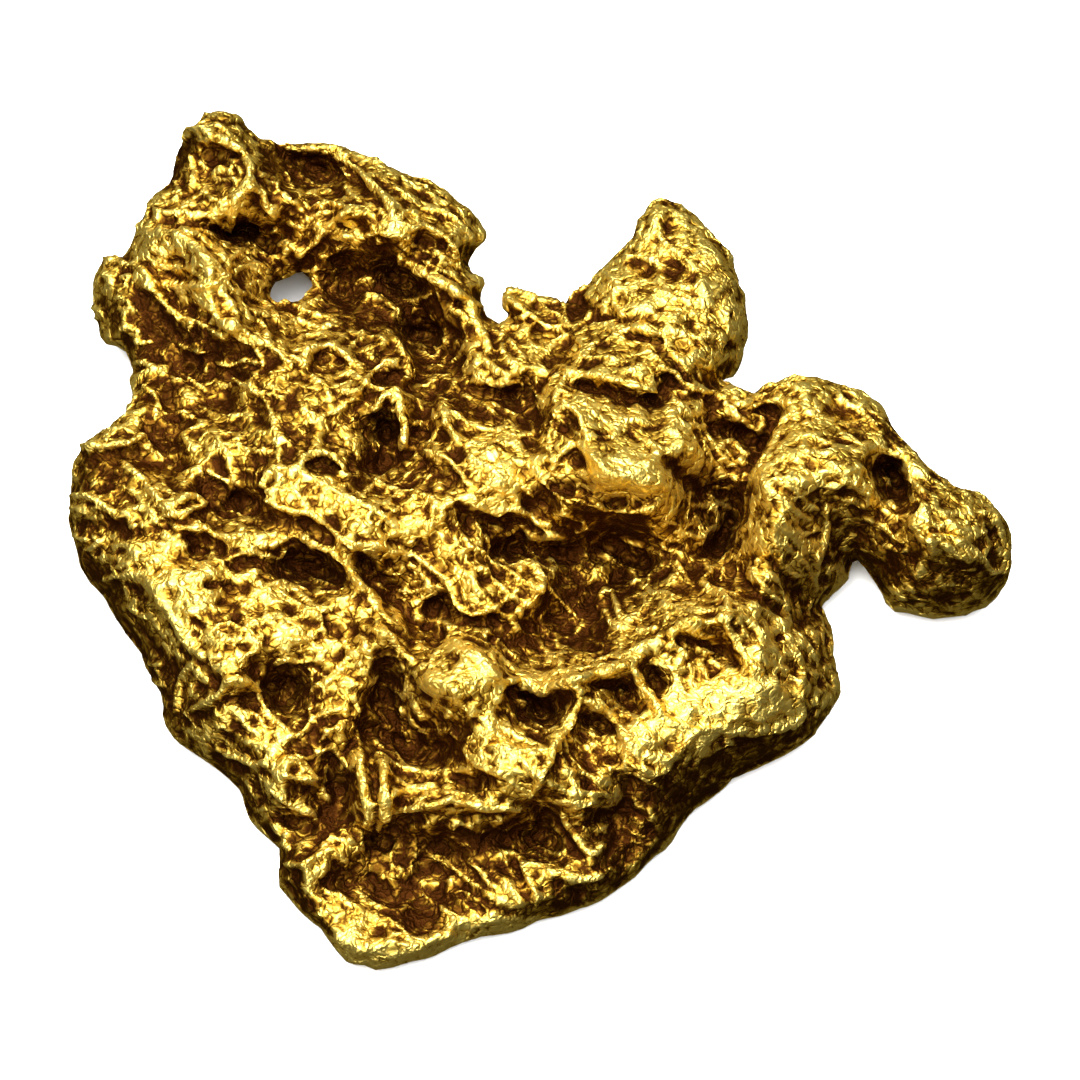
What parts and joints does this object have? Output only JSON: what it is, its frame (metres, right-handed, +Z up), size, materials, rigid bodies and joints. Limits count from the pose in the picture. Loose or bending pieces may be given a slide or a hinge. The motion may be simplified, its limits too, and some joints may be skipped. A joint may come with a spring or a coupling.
{
  "type": "gold nugget",
  "caption": "Flat, water-worn lump of native gold with a torn, crumpled top, side lobes, an arm, a fin and a small through hole; it lies on its worn underside.",
  "frame": {"origin": "centre of the bounding box in X and Y, on the table that the worn underside rests on", "axes": "+Z up from the table, the thin way through the nugget; +X right towards the arm and its knob, +Y towards the far side with the knob and the fin, as the nugget is looked at from its blunt near tip"},
  "size_m": [0.0264, 0.0262, 0.0061],
  "materials": {
    "gold": "natural high-carat gold: bright worn crests, dull brown-black patina in the hollows"
  },
  "bodies": {
    "root": {"nugget": "gold"}
  },
  "joints": []
}
